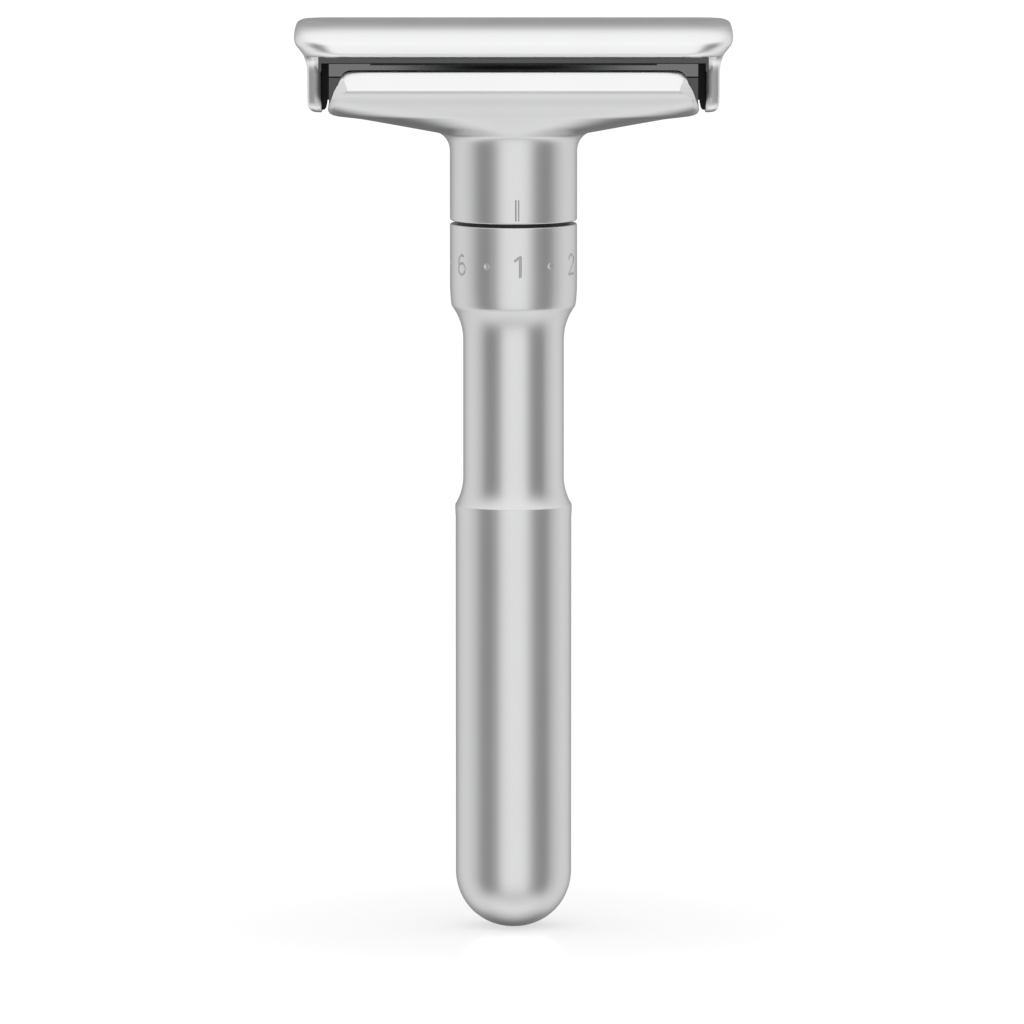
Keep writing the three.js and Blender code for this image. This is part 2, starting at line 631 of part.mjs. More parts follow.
function cap() {
  const clampHalf = CAP_ARM_INNER + 0.5;
  const clampHeights = [GUARD_BAR_TOP, CAP_UNDERSIDE + 1];
  const clamp = block([-clampHalf, clampHalf], [-LIP_HALF_WIDTH, LIP_HALF_WIDTH], clampHeights);
  const camber = CAMBER_RADIUS + BLADE_THICKNESS / 2 + BLADE_GAP;
  const blade = alongHead(underCamber(camber, GUARD_BAR_INNER + 1, GUARD_FLOOR), CAP_ARM_INNER);
  const underClamp = block([-FAR, FAR], [-FAR, FAR], [GUARD_FLOOR, CLAMP_BOTTOM]);
  let body = lofted(CAP_OUTLINES).add(clamp.subtract(underClamp)).subtract(blade);
  for (const side of [-1, 1]) {
    const tongueX = [side * CAP_TONGUE.inner, side * (CAP_ARM_INNER + 0.4)].sort((p, q) => p - q);
    const tongueY = [-CAP_TONGUE.halfDepth, CAP_TONGUE.halfDepth];
    const footX = [side * CAP_TONGUE.footInner, side * (CAP_ARM_INNER + 0.4)].sort((p, q) => p - q);
    const tongueFoot = block(footX, tongueY, [CAP_TONGUE.bottom, CAP_TONGUE.step + 0.2]);
    const tongue = block(tongueX, tongueY, [CAP_TONGUE.step, CAP_UNDERSIDE + 0.4]).add(tongueFoot);
    const studX = (side * STUD_SPACING) / 2;
    body = body.add(capArm(side)).add(tongue);
    body = body.subtract(rod(STUD_RADIUS + RUNNING, GUARD_FLOOR, STUD_TOP + RUNNING, studX));
  }
  return body;
}

// A stud locates the blade, and its groove is gripped by a catch under the platform.
function capStud(side) {
  const grooveBottom = PLATFORM_BOTTOM - CATCH_THICKNESS - 0.25;
  const grooveTop = PLATFORM_BOTTOM + 0.15;
  const stud = turned(
    [
      [0, STUD_BOTTOM],
      [STUD_TIP_RADIUS - 0.45, STUD_BOTTOM],
      [STUD_TIP_RADIUS, STUD_BOTTOM + 0.6],
      [STUD_TIP_RADIUS, grooveBottom - 0.2],
      [STUD_GROOVE_RADIUS, grooveBottom],
      [STUD_GROOVE_RADIUS, grooveTop],
      [STUD_RADIUS, grooveTop + 0.2],
      [STUD_RADIUS, STUD_TOP],
      [0, STUD_TOP],
    ],
    SMALL_ROUND,
  );
  return stud.translate([(side * STUD_SPACING) / 2, 0, 0]);
}

add('cap', cap(), satinChrome);
add('cap_stud_left', capStud(-1), steel);
add('cap_stud_right', capStud(1), steel);

export default razor;
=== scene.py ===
"""Adjustable double-edge safety razor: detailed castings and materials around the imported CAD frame.

Lengths are written in millimetres, heights from a level HANDLE_BOTTOM above the handle's lowest point, and
both are turned into the frame's metres where a mesh is made. +Z runs up the handle, +X along the width of
the head, and the index mark faces -Y.
"""

import math

import bmesh
import bpy
import numpy as np
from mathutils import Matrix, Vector


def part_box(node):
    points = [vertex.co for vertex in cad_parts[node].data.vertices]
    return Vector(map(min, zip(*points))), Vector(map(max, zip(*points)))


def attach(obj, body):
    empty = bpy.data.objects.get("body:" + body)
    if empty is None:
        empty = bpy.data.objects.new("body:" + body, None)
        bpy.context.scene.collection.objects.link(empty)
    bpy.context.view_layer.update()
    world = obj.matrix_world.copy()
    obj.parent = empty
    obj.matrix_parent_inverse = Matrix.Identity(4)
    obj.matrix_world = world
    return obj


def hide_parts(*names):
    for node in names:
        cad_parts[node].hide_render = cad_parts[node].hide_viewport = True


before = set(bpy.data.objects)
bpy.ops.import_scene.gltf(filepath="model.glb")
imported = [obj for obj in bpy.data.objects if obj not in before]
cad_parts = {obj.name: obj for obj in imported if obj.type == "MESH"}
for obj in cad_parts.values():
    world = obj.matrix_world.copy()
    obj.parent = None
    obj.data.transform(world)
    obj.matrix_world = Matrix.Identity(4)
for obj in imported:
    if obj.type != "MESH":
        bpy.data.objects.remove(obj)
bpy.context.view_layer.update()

MM = 0.001
SMOOTH_ANGLE = math.radians(32)
HANDLE_BOTTOM = -0.3
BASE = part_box("handle_shell")[0][2] - MM * HANDLE_BOTTOM  # where heights are measured from, in the frame


def placed(x, y, z):
    """A point written in millimetres, in the frame."""
    return Vector((MM * x, MM * y, MM * z + BASE))


def span(node):
    """A CAD node's lowest and highest corners, in millimetres."""
    return [[point[0] / MM, point[1] / MM, (point[2] - BASE) / MM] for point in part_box(node)]


# ---- mesh building ----


def shaded(obj):
    """Smooth shading, with every edge sharper than SMOOTH_ANGLE kept crisp."""
    mesh = obj.data
    work = bmesh.new()
    work.from_mesh(mesh)
    for face in work.faces:
        face.smooth = True
    for edge in work.edges:
        edge.smooth = len(edge.link_faces) == 2 and edge.calc_face_angle(0) < SMOOTH_ANGLE
    work.to_mesh(mesh)
    work.free()
    return obj


MERGE_DISTANCE = 1e-7  # metres
SMALLEST_EDGE = 1e-8


def mesh_object(name, points, faces):
    """A closed mesh from points in millimetres, with doubled points merged and faces turned outward."""
    mesh = bpy.data.meshes.new(name)
    mesh.from_pydata([placed(*point) for point in points], [], faces)
    work = bmesh.new()
    work.from_mesh(mesh)
    bmesh.ops.remove_doubles(work, verts=work.verts, dist=MERGE_DISTANCE)
    bmesh.ops.dissolve_degenerate(work, edges=work.edges, dist=SMALLEST_EDGE)
    bmesh.ops.recalc_face_normals(work, faces=work.faces)
    work.to_mesh(mesh)
    work.free()
    obj = bpy.data.objects.new(name, mesh)
    bpy.context.scene.collection.objects.link(obj)
    return obj


def skin(name, loops):
    """A closed mesh over loops of equally many points, with a flat face on each end."""
    count = len(loops[0])
    points = [point for loop in loops for point in loop]
    faces = [list(range(count)), list(range(len(points) - count, len(points)))]
    for level in range(len(loops) - 1):
        for i in range(count):
            j = (i + 1) % count
            low, high = level * count, (level + 1) * count
            faces.append([low + i, low + j, high + j, high + i])
    return mesh_object(name, points, faces)


def outline(z, a, b, radius, x=0.0, steps=12):
    """A level rounded rectangle of half-sizes a and b: a circle where a, b and radius are equal."""
    loop = []
    for quarter in range(4):
        sx = 1 if quarter in (0, 3) else -1
        sy = 1 if quarter in (0, 1) else -1
        for step in range(steps + 1):
            angle = (quarter + step / steps) * math.pi / 2
            px = x + sx * (a - radius) + radius * math.cos(angle)
            py = sy * (b - radius) + radius * math.sin(angle)
            loop.append((px, py, z))
    return loop


def pillow(z, a, b, squareness, steps=30):
    """A level outline of half-sizes a and b. Squareness 2 is an ellipse, and 40 nearly a rectangle."""
    loop = []
    for i in range(4 * steps):
        across = math.cos(i / steps * math.pi / 2)
        rise = max(0.0, 1 - abs(across) ** squareness) ** (1 / squareness)
        loop.append((a * across, b * rise if i < 2 * steps else -b * rise, z))
    return loop


def blended(keys, per_mm=2.0):
    """Outlines run straight from key to key. A key is (z, a, b, squareness)."""
    loops = []
    for start, end in zip(keys, keys[1:]):
        count = max(1, round(per_mm * abs(end[0] - start[0])))
        for i in range(count):
            loops.append(pillow(*[p + (q - p) * i / count for p, q in zip(start, end)]))
    loops.append(pillow(*keys[-1]))
    return loops


def oval(cx, cz, rx, rz, start, end, steps=14):
    """Points of an elliptical arc between two angles in degrees."""
    angles = [math.radians(start + (end - start) * i / steps) for i in range(steps + 1)]
    return [(cx + rx * math.cos(t), cz + rz * math.sin(t)) for t in angles]


def arc(cx, cz, radius, start, end, steps):
    """Points of a round arc between two angles in degrees."""
    return oval(cx, cz, radius, radius, start, end, steps)


def block(name, x, y, z):
    """A box between pairs of limits."""
    loops = [[(x[0], y[0], h), (x[1], y[0], h), (x[1], y[1], h), (x[0], y[1], h)] for h in z]
    return skin(name, loops)


def combine(target, operation, *others):
    """Joins to or cuts from target with an exact boolean, and removes the other meshes."""
    for other in others:
        modifier = target.modifiers.new("boolean", "BOOLEAN")
        modifier.operation = operation
        modifier.solver = "EXACT"
        modifier.object = other
        bpy.context.view_layer.update()
        depsgraph = bpy.context.evaluated_depsgraph_get()
        result = bpy.data.meshes.new_from_object(target.evaluated_get(depsgraph))
        target.modifiers.clear()
        old = target.data
        target.data = result
        bpy.data.meshes.remove(old)
        bpy.data.objects.remove(other)
    target.data.name = target.name
    return target


# ---- materials ----


class Nodes:
    """A short way to write a node tree."""

    def __init__(self, tree):
        self.tree = tree

    def add(self, kind, settings=None, **inputs):
        node = self.tree.nodes.new(kind)
        for key, value in (settings or {}).items():
            setattr(node, key, value)
        for key, value in inputs.items():
            self.feed(node, key.replace("_", " "), value)
        return node

    def feed(self, node, key, value):
        socket = node.inputs[int(key)] if key.isdigit() else node.inputs[key]
        if isinstance(value, bpy.types.NodeSocket):
            self.tree.links.new(value, socket)
        else:
            socket.default_value = value


def maths(nodes, operation, first, second=0.0):
    node = nodes.add("ShaderNodeMath", {"operation": operation})
    nodes.feed(node, "0", first)
    nodes.feed(node, "1", second)
    return node.outputs[0]


def mapped(nodes, value, low, high):
    """A 0 to 1 value stretched between two limits."""
    node = nodes.add("ShaderNodeMapRange", {"clamp": True})
    nodes.feed(node, "Value", value)
    nodes.feed(node, "To Min", low)
    nodes.feed(node, "To Max", high)
    return node.outputs["Result"]


def noise(nodes, position, scale, detail=2.0, roughness=0.5):
    inputs = {"Vector": position, "Scale": scale, "Detail": detail, "Roughness": roughness}
    return nodes.add("ShaderNodeTexNoise", **inputs).outputs["Fac"]


def blended_colors(nodes, factor, first, second):
    """Two colours mixed by a factor. Either may be a socket or three numbers."""
    node = nodes.add("ShaderNodeMix", {"data_type": "RGBA"})
    nodes.feed(node, "0", factor)
    for key, color in (("6", first), ("7", second)):
        nodes.feed(node, key, color if isinstance(color, bpy.types.NodeSocket) else (*color, 1))
    return node.outputs[2]


def shader_of(name):
    """A new material, its nodes and its shader."""
    material = bpy.data.materials.new(name)
    material.use_nodes = True
    return material, Nodes(material.node_tree), material.node_tree.nodes["Principled BSDF"]


SLOW_CHANGE = 90.0  # scale of the slow changes of tone and gloss
TONE_SPREAD = 0.03
GRAIN_STRENGTH = 0.6
ENGRAVING_COLOR = (0.58, 0.58, 0.585)
ENGRAVING_ROUGHNESS = 0.6
MOULDED_SPREAD = 0.08
MOULDED_DEPTH = 2e-5


def metal(name, color, roughness, spread, grain, grain_depth, stretch=(1, 1, 1), engraved=False):
    """A metal with a fine surface grain, and slow changes of tone and gloss."""
    material, nodes, shader = shader_of(name)
    shader.inputs["Metallic"].default_value = 1.0
    place = nodes.add("ShaderNodeTexCoord").outputs["Object"]
    stretched = nodes.add("ShaderNodeMapping", Vector=place, Scale=stretch).outputs["Vector"]
    fine = noise(nodes, stretched, grain, 3.0, 0.6)
    slow = noise(nodes, place, SLOW_CHANGE)
    darker = [(1 - TONE_SPREAD) * c for c in color]
    lighter = [min(1.0, (1 + TONE_SPREAD) * c) for c in color]
    base = blended_colors(nodes, slow, darker, lighter)
    slow_gloss = mapped(nodes, slow, roughness - spread, roughness)
    rough = maths(nodes, "ADD", slow_gloss, mapped(nodes, fine, 0.0, spread))
    if engraved:
        mark = nodes.add("ShaderNodeAttribute", {"attribute_name": "engraved"}).outputs["Fac"]
        base = blended_colors(nodes, mark, base, ENGRAVING_COLOR)
        rough = maths(nodes, "MAXIMUM", rough, maths(nodes, "MULTIPLY", mark, ENGRAVING_ROUGHNESS))
    nodes.feed(shader, "Base Color", base)
    nodes.feed(shader, "Roughness", rough)
    bump = nodes.add("ShaderNodeBump", Height=fine, Distance=grain_depth, Strength=GRAIN_STRENGTH)
    nodes.feed(shader, "Normal", bump.outputs["Normal"])
    return material


def moulded(name, color, roughness, grain):
    """A dark rubber or polymer with a fine moulded grain."""
    material, nodes, shader = shader_of(name)
    place = nodes.add("ShaderNodeTexCoord").outputs["Object"]
    fine = noise(nodes, place, grain, 3.0)
    base = blended_colors(nodes, fine, [0.8 * c for c in color], [1.3 * c for c in color])
    nodes.feed(shader, "Base Color", base)
    gloss = mapped(nodes, fine, roughness - MOULDED_SPREAD, roughness + MOULDED_SPREAD)
    nodes.feed(shader, "Roughness", gloss)
    bump = nodes.add("ShaderNodeBump", Height=fine, Distance=MOULDED_DEPTH)
    nodes.feed(shader, "Normal", bump.outputs["Normal"])
    return material


CHROME = (0.76, 0.762, 0.768)
# Polished steel darkened well below its own tone: painted shade for the blade bed and the blade's ground
# edges, which sit in the gap between the cap and the guard.
STEEL_DARKENED_AS_SHADE = (0.17, 0.171, 0.175)
satin_chrome = metal("satin_chrome", CHROME, 0.35, 0.03, 9000.0, 4e-6)
engraved_chrome = metal("engraved_chrome", CHROME, 0.35, 0.03, 9000.0, 4e-6, engraved=True)
# Painted light: a lighter copy of the satin chrome, for the cap and the tops of the guard's bars.
chrome_painted_lighter = metal("chrome_painted_lighter", (0.91, 0.912, 0.918), 0.33, 0.03, 9000.0, 4e-6)
# Painted shade: a darker, rougher chrome for the sloping sides of the index mark's groove, where shade
# falls.
index_sides_painted_shade = metal("index_sides_painted_shade", (0.65, 0.65, 0.655), 0.5, 0.05, 9000.0, 4e-6)
# Painted shade: a dark copy of the chrome for the faces inside the guard's bars and bed and under the cap.
chrome_painted_shade = metal("chrome_painted_shade", (0.09, 0.0905, 0.092), 0.16, 0.04, 6000.0, 2e-6)
# Painted shade: near black, for the tongues that fill the gap beside the guard's ends.
recess_painted_shade = metal("recess_painted_shade", (0.025, 0.025, 0.026), 0.45, 0.05, 6000.0, 2e-6)
platform_steel_painted_shade = metal("platform_steel_painted_shade", STEEL_DARKENED_AS_SHADE, 0.022, 0.006, 4000.0, 1e-8, (0.2, 4, 1))
ground_edge_painted_shade = metal("ground_edge_painted_shade", STEEL_DARKENED_AS_SHADE, 0.026, 0.006, 5000.0, 1e-8, (0.1, 6, 1))
turned_brass = metal("turned_brass", (0.74, 0.55, 0.27), 0.34, 0.05, 3000.0, 6e-6, (1, 1, 12))
spring_steel = metal("spring_steel", (0.56, 0.565, 0.575), 0.3, 0.05, 2500.0, 5e-6, (1, 8, 1))
blade_steel = metal("blade_steel", (0.58, 0.585, 0.595), 0.2, 0.06, 2500.0, 3e-6, (0.1, 6, 1))
ring_rubber = moulded("ring_rubber", (0.02, 0.02, 0.02), 0.72, 5000.0)
washer_polymer = moulded("washer_polymer", (0.022, 0.022, 0.024), 0.5, 7000.0)


def finish_piece(obj, material, body, slot, *nodes):
    """Gives a piece its material and its body, and hides the CAD nodes that it stands for; its record slot
    is not used.
    """
    obj.data.materials.clear()
    obj.data.materials.append(material)
    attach(obj, body)
    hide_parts(*nodes)


# ---- handle ----

DIGIT_HALF_HEIGHT = 1.3
DIGIT_WIDTH = 0.72  # half the width of a round digit
STROKE = 0.17  # half the width of an engraved line
DOT_RADIUS = 0.42
ENGRAVING_DEPTH = 0.11
DIGIT_STEP = 60.0  # degrees from one number to the next
FIRST_DIGIT_ANGLE = 5.3  # degrees round to the right of the handle's front
DIGIT_DROP = 5.15  # from the dial's top edge to the middle of the digits
STROKE_SIDE = 0.07  # width of an engraved line's sloping side

END_BLUNTNESS = 2 / 2.06  # 1 would be a true half ball
GRIP_RADIUS, WAIST_RADIUS = 7.65, 6.65
SHOULDER, WAIST_LOW, WAIST_HIGH, DIAL_LOW = 55.9, 59.7, 77.8, 82.3
LOW_COVE, HIGH_COVE = 7.2, 7.55
# How far outside the grip and above the shoulder, and how far inside the dial and above its lower edge.
SHOULDER_EDGE = [(0.0, -1.6), (0.06, -0.5), (0.06, -0.2), (0.03, -0.06)]
DIAL_EDGE = [(0.19, 0.25), (0.13, 0.65), (0.08, 1.25), (0.03, 1.95), (0.0, 2.8)]
DIAL_TOP_ROUND = 0.22
SPIGOT_BORE = 6.2
BORE_CHAMFER = 0.1
# Down the inside, as radius and height: the spigot's bore, the drive nut's, the thread's and the cavity.
HANDLE_BORES = [
    (SPIGOT_BORE, 82.6), (3.4, 82.6), (3.4, 72.1), (2.6, 72.1), (2.6, 56.0), (5.7, 53.0), (5.7, 11.0),
    (4.7, 10.0),
]


H, W = DIGIT_HALF_HEIGHT, DIGIT_WIDTH
DIGITS = [  # the strokes of 1 to 6, each a line through its points
    [[(-0.55, 0.62 * H), (0.12, H), (0.12, -H)]],
    [oval(0, H - W, W, W, 165, -35) + [(-W, -H), (W + 0.05, -H)]],
    [oval(0, 0.5 * H, 0.92 * W, 0.5 * H, 150, -90) + oval(0, -0.5 * H, W, 0.5 * H, 90, -150)],
    [[(0.3, -H), (0.3, H), (-W, -0.42 * H), (W + 0.08, -0.42 * H)]],
    [
        [(0.85 * W, H), (-0.7 * W, H), (-0.85 * W, 0.1 * H)]
        + oval(-0.05, -0.36 * H, W, 0.64 * H, 125, -145),
    ],
    [
        oval(0.05, 0.25 * H, W, 0.75 * H, 60, 180) + [(-W + 0.02, -0.3 * H)],
        oval(0, -0.4 * H, W, 0.6 * H, 0, 360),
    ],
]


def segment_distance(u, v, start, end):
    """Distance from points (u, v) to a straight stroke."""
    dx, dz = end[0] - start[0], end[1] - start[1]
    along = np.clip(((u - start[0]) * dx + (v - start[1]) * dz) / (dx * dx + dz * dz), 0, 1)
    return np.hypot(u - start[0] - along * dx, v - start[1] - along * dz)


def mark_depth(u, v, digit):
    """How deep a digit, or the dot at digit None, is cut at (u, v): 0 to 1."""
    if digit is None:
        return np.clip(1 - np.hypot(u, v) / DOT_RADIUS, 0, 1) ** 0.7
    distance = np.full_like(u, 1e3)
    for stroke in DIGITS[digit]:
        for start, end in zip(stroke, stroke[1:]):
            distance = np.minimum(distance, segment_distance(u, v, start, end))
    return np.clip((STROKE - distance) / STROKE_SIDE, 0, 1)


def handle_profile():
    """The handle's (radius, height) points: up to the dial's band of digits, and then over and inside."""
    low, high = span("handle_shell")
    top = high[2]
    dial = high[0]
    lower = []
    for t in np.linspace(0, math.pi / 2, 40):
        across, down = max(0.0, math.sin(t)), max(0.0, math.cos(t))
        rise = GRIP_RADIUS * (1 - down**END_BLUNTNESS)
        lower.append((GRIP_RADIUS * across**END_BLUNTNESS, HANDLE_BOTTOM + rise))
    lower += [(GRIP_RADIUS, 30.0)]
    lower += [(GRIP_RADIUS + out, SHOULDER + up) for out, up in SHOULDER_EDGE]
    lower += arc(WAIST_RADIUS + LOW_COVE, WAIST_LOW, LOW_COVE, 211.5, 180, 14)
    lower += [(WAIST_RADIUS, WAIST_HIGH - 8)]
    lower += arc(WAIST_RADIUS + HIGH_COVE, WAIST_HIGH, HIGH_COVE, 180, 143.4, 16)
    lower += [(dial - inset, DIAL_LOW + up) for inset, up in DIAL_EDGE]
    upper = arc(dial - DIAL_TOP_ROUND, top - DIAL_TOP_ROUND, DIAL_TOP_ROUND, 0, 90, 6)
    upper += [(SPIGOT_BORE + BORE_CHAMFER, top), (SPIGOT_BORE, top - BORE_CHAMFER)]
    return lower, upper + HANDLE_BORES, top, dial


def turn_between(angle, centre):
    """How far an angle is past a centre, from -180 to 180 degrees."""
    return (angle - centre + 180) % 360 - 180


def fine_angles(centres, coarse=2.5, fine=0.34):
    """Angles round the handle in degrees, close together near each mark."""
    angles = set()
    for centre, half in centres:
        steps = round(2 * half / fine)
        angles.update(round(centre - half + 2 * half * i / steps, 4) % 360 for i in range(steps + 1))
    for i in range(round(360 / coarse)):
        angle = i * coarse
        if all(abs(turn_between(angle, centre)) > half + 0.4 * coarse for centre, half in centres):
            angles.add(angle)
    return sorted(angles)


def handle():
    lower, upper, top, dial = handle_profile()
    centre_z = top - DIGIT_DROP
    half_band = DIGIT_HALF_HEIGHT + 2 * STROKE
    band = list(np.linspace(centre_z - half_band, centre_z + half_band, 76))
    marks = []
    for i in range(6):
        marks.append((FIRST_DIGIT_ANGLE + DIGIT_STEP * i, i))
        marks.append((FIRST_DIGIT_ANGLE + DIGIT_STEP * (i + 0.5), None))
    digit_reach = math.degrees((DIGIT_WIDTH + 2 * STROKE + 0.1) / dial)
    dot_reach = math.degrees(1.3 * DOT_RADIUS / dial)
    reaches = [(angle % 360, dot_reach if digit is None else digit_reach) for angle, digit in marks]
    angles = fine_angles(reaches)
    turn = np.radians(angles)

    profile = lower + [(dial, z) for z in band] + upper
    radius = np.array([[r] * len(angles) for r, z in profile])
    height = np.array([[z] * len(angles) for r, z in profile])
    rows = slice(len(lower), len(lower) + len(band))
    around = np.degrees(turn)[None, :]
    v = height[rows] - centre_z
    cut = np.zeros_like(v)
    for angle, digit in marks:
        u = np.radians(turn_between(around, angle)) * dial + np.zeros_like(v)
        cut = np.maximum(cut, mark_depth(u, v, digit))
    radius[rows] -= ENGRAVING_DEPTH * cut
    x = radius * np.sin(turn)[None, :]
    y = -radius * np.cos(turn)[None, :]
    loops = np.stack([x, y, height], axis=-1)
    obj = skin("handle_casting", [[tuple(point) for point in loop] for loop in loops[1:]])
    mark_digits(obj, dial, band, dot_reach, [angle for angle, digit in marks if digit is None])
    shaded(obj)
    finish_piece(obj, engraved_chrome, "handle", "satin_chrome", "handle_shell")


def mark_digits(obj, dial, band, dot_reach, dot_angles):
    """Writes how deep each point of a digit is cut, found from its place, for the paint. Dots have none."""
    attribute = obj.data.attributes.new("engraved", "FLOAT", "POINT")
    for vertex in obj.data.vertices:
        z = (vertex.co.z - BASE) / MM
        turned = math.degrees(math.atan2(vertex.co.x, -vertex.co.y))
        in_dot = any(abs(turn_between(turned, angle)) < dot_reach for angle in dot_angles)
        if band[0] < z < band[-1] and not in_dot:
            depth = dial - math.hypot(vertex.co.x, vertex.co.y) / MM
            attribute.data[vertex.index].value = min(1.0, max(0.0, depth / ENGRAVING_DEPTH))


# ---- guard ----

NECK_RADIUS = 8.4
NECK_LOW = 93.68
NECK_EDGE = 0.22
FILLET_LOW, FILLET_HIGH, FILLET_WIDE = 102.8, 2.6, 2.3
CREASE = 111.65  # where the front bends back
GUARD_FLOOR = 113.1
BAR_INNER = 11.2  # from the middle to the inner faces of the front and back bars
BED_HALF_LENGTH, BED_HALF_WIDTH, BED_BOTTOM = 24.2, 9.7, 109.4
TROUGH_HALF_LENGTH, TROUGH_INNER, TROUGH_DEPTH = 21.4, 9.8, 1.1
FAR = 30.0  # past every side of the head

INDEX_X = 0.5
INDEX_HALF_WIDTH = 0.3
INDEX_FLOOR = 0.1  # half the width of the index mark's flat floor
INDEX_DEPTH = 0.2
INDEX_LOW, INDEX_HIGH = 0.45, 3.25  # above the neck's lower edge

# Heights and radii of the spigot with its ring groove, and of the bores for the spindle, guide and spring.
SPIGOT_RADIUS = 6.1
SPIGOT = [(84.3, SPIGOT_RADIUS), (87.3, SPIGOT_RADIUS), (87.3, 5.26), (88.5, 5.26), (88.5, SPIGOT_RADIUS)]
SPRING_POCKET_RADIUS = 5.4
HEAD_BORES = [(83.5, 2.7), (90, 2.7), (90, 4.1), (98, 4.1), (98, SPRING_POCKET_RADIUS)]
CATCH_POCKET = {"inner": 6.4, "outer": 19.4, "half_width": 4.2, "floor": 109.6}
STOP_GROOVE = {"inner": 3.9, "outer": 5.3, "start": -128.5, "end": 188.5, "z": (83.5, 86.3)}

# Above the fillet: height, how far inside the end and the front, and squareness.
GUARD_ROWS = [
    (106.68, 7.3, 3.42, 2.8), (107.36, 3.65, 2.98, 3.2), (107.78, 0.75, 2.7, 4.2),
    (107.92, 0.44, 2.6, 5.0), (108.15, 0.18, 2.46, 6.5), (108.5, 0.03, 2.24, 8.5),
    (108.9, 0.0, 1.98, 13), (109.5, 0.16, 1.56, 22), (CREASE - 1.0, 0.6, 0.93, 36),
    (CREASE - 0.55, 0.76, 0.6, 40), (CREASE - 0.25, 0.87, 0.28, 40), (CREASE - 0.1, 0.93, 0.08, 40),
    (CREASE, 1.0, 0.0, 40), (CREASE + 0.15, 1.07, 0.03, 40), (CREASE + 0.4, 1.2, 0.19, 40),
    (CREASE + 0.75, 1.44, 0.45, 40),
]
# The same at the top, with the height taken from the highest point.
GUARD_TOP_ROWS = [
    (-0.85, 1.7, 0.93, 40), (-0.5, 1.95, 1.15, 36), (-0.25, 2.15, 1.33, 30), (-0.1, 2.35, 1.47, 26),
    (-0.03, 2.5, 1.58, 24), (0.0, 2.7, 1.7, 24),
]


def lathe(name, rows):
    """A round solid through (height, radius) rows."""
    return skin(name, [outline(z, r, r, r) for z, r in rows])


def stop_groove():
    """The room in the spigot's lower end for the stop pin, as far round as the dial turns."""
    start, end = STOP_GROOVE["start"], STOP_GROOVE["end"]
    section = arc(0, 0, STOP_GROOVE["outer"], start, end, 84)
    section += arc(0, 0, STOP_GROOVE["inner"], end, start, 84)
    return skin("stop_groove", [[(x, y, z) for x, y in section] for z in STOP_GROOVE["z"]])


def index_groove():
    """The index mark's groove, with sloping sides that go on past the neck's surface."""
    slope = INDEX_HALF_WIDTH - INDEX_FLOOR
    outer = INDEX_FLOOR + 4 * slope
    section = [
        (INDEX_X - outer, -NECK_RADIUS - 3 * INDEX_DEPTH),
        (INDEX_X + outer, -NECK_RADIUS - 3 * INDEX_DEPTH),
        (INDEX_X + INDEX_FLOOR, -NECK_RADIUS + INDEX_DEPTH),
        (INDEX_X - INDEX_FLOOR, -NECK_RADIUS + INDEX_DEPTH),
    ]
    return skin("index", [[(x, y, NECK_LOW + z) for x, y in section] for z in (INDEX_LOW, INDEX_HIGH)])


def guard_outlines(end, deep, top):
    """The outlines from the neck's lower edge, through the fillet, to the tops of the bars."""
    edge = arc(NECK_RADIUS - NECK_EDGE, NECK_LOW + NECK_EDGE, NECK_EDGE, -90, 0, 5)
    keys = [(z, r, r, 2) for r, z in edge]
    keys += [(FILLET_LOW, NECK_RADIUS, NECK_RADIUS, 2)]
    for i in range(1, 12):
        turn = math.radians(80.0 * i / 11)
        a = NECK_RADIUS + FILLET_WIDE * (1 - math.cos(turn))
        z = FILLET_LOW + FILLET_HIGH * math.sin(turn)
        keys.append((z, a, NECK_RADIUS + 0.5 * (i / 11) ** 2, 2))
    rows = GUARD_ROWS + [(top + drop, *row) for drop, *row in GUARD_TOP_ROWS]
    keys += [(z, end - inset, deep - back, squareness) for z, inset, back, squareness in rows]
    return blended(keys, per_mm=1.5)


def guard_cutters(above):
    """What is cut out of the guard once its bed and spigot are on. The cutters end at a height above it."""
    bores = lathe("bores", HEAD_BORES + [(above, SPRING_POCKET_RADIUS)])
    cutters = [bores, index_groove(), stop_groove()]
    trough_x = (-TROUGH_HALF_LENGTH, TROUGH_HALF_LENGTH)
    pocket_y = (-CATCH_POCKET["half_width"], CATCH_POCKET["half_width"])
    for side in (-1, 1):
        trough_y = sorted((side * TROUGH_INNER, side * BAR_INNER))
        pocket_x = sorted((side * CATCH_POCKET["inner"], side * CATCH_POCKET["outer"]))
        cutters.append(block("trough", trough_x, trough_y, (GUARD_FLOOR - TROUGH_DEPTH, above)))
        cutters.append(block("pocket", pocket_x, pocket_y, (CATCH_POCKET["floor"], above)))
    return cutters


def guard():
    low, high = span("guard_head")
    end, deep, top = high
    body = skin("guard_casting", guard_outlines(end, deep, top))
    for sx in (-1, 1):
        for sy in (-1, 1):
            cut_corner(body, sx, sy)
    over_bed = block("over_bed", (-FAR, FAR), (-BAR_INNER, BAR_INNER), (GUARD_FLOOR, top + 1))
    combine(body, "DIFFERENCE", over_bed)
    bed_x, bed_y = (-BED_HALF_LENGTH, BED_HALF_LENGTH), (-BED_HALF_WIDTH, BED_HALF_WIDTH)
    bed = block("bed", bed_x, bed_y, (BED_BOTTOM, GUARD_FLOOR))
    combine(body, "UNION", bed, lathe("spigot", SPIGOT + [(NECK_LOW + 1, SPIGOT_RADIUS)]))
    combine(body, "DIFFERENCE", *guard_cutters(top + 1))
    shaded(body)
    finish_piece(body, satin_chrome, "head", "satin_chrome", "guard_head")
    # Painted light on the bars, and painted shade on the index mark's sides and inside the guard.
    for material in (chrome_painted_lighter, index_sides_painted_shade, chrome_painted_shade):
        body.data.materials.append(material)
    for face in body.data.polygons:
        face.material_index = guard_finish(face)


